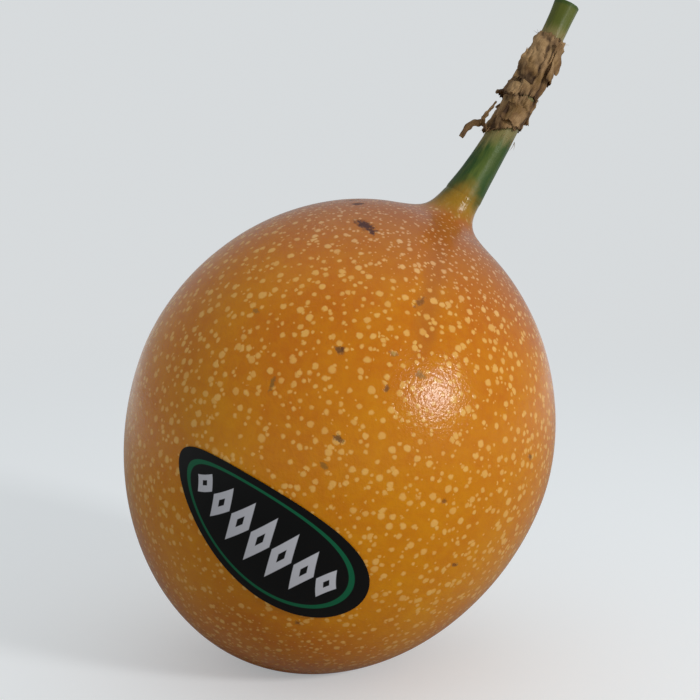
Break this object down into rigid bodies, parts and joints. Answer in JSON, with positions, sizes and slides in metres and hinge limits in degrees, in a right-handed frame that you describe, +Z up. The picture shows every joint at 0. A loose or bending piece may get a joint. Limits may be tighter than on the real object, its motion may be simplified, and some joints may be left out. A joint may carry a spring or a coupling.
{
  "type": "granadilla",
  "caption": "Ripe sweet granadilla, egg-shaped with a short neck and cut stem wrapped in dried bracts, resting tilted on a small flat spot.",
  "frame": {"origin": "centre of the small flat spot that the fruit rests on", "axes": "+Z up, with the rest surface at z = 0; the fruit's axis leans 21.5 degrees to +X and 8 degrees to +Y, and the printed label faces -Y"},
  "size_m": [0.0687, 0.0641, 0.0999],
  "materials": {
    "rind": "smooth waxy orange rind with small pale yellow flecks, satin gloss",
    "green_stem": "fresh green bark with fine lengthwise ribs, turning ochre at the fruit",
    "dry_bract": "dry crumpled brown tissue with torn fibrous edges, matt",
    "printed_film": "thin black self-adhesive film with green and pale grey print, satin gloss"
  },
  "bodies": {
    "root": {"fruit": "rind", "stem": "green_stem", "bract_sleeve_lower": "dry_bract", "bract_sleeve_upper": "dry_bract", "bract_stub_left": "dry_bract", "bract_stub_right": "dry_bract", "bract_stub_back": "dry_bract", "bract_strand": "dry_bract", "bract_spur": "dry_bract", "fruit_label": "printed_film"}
  },
  "joints": []
}
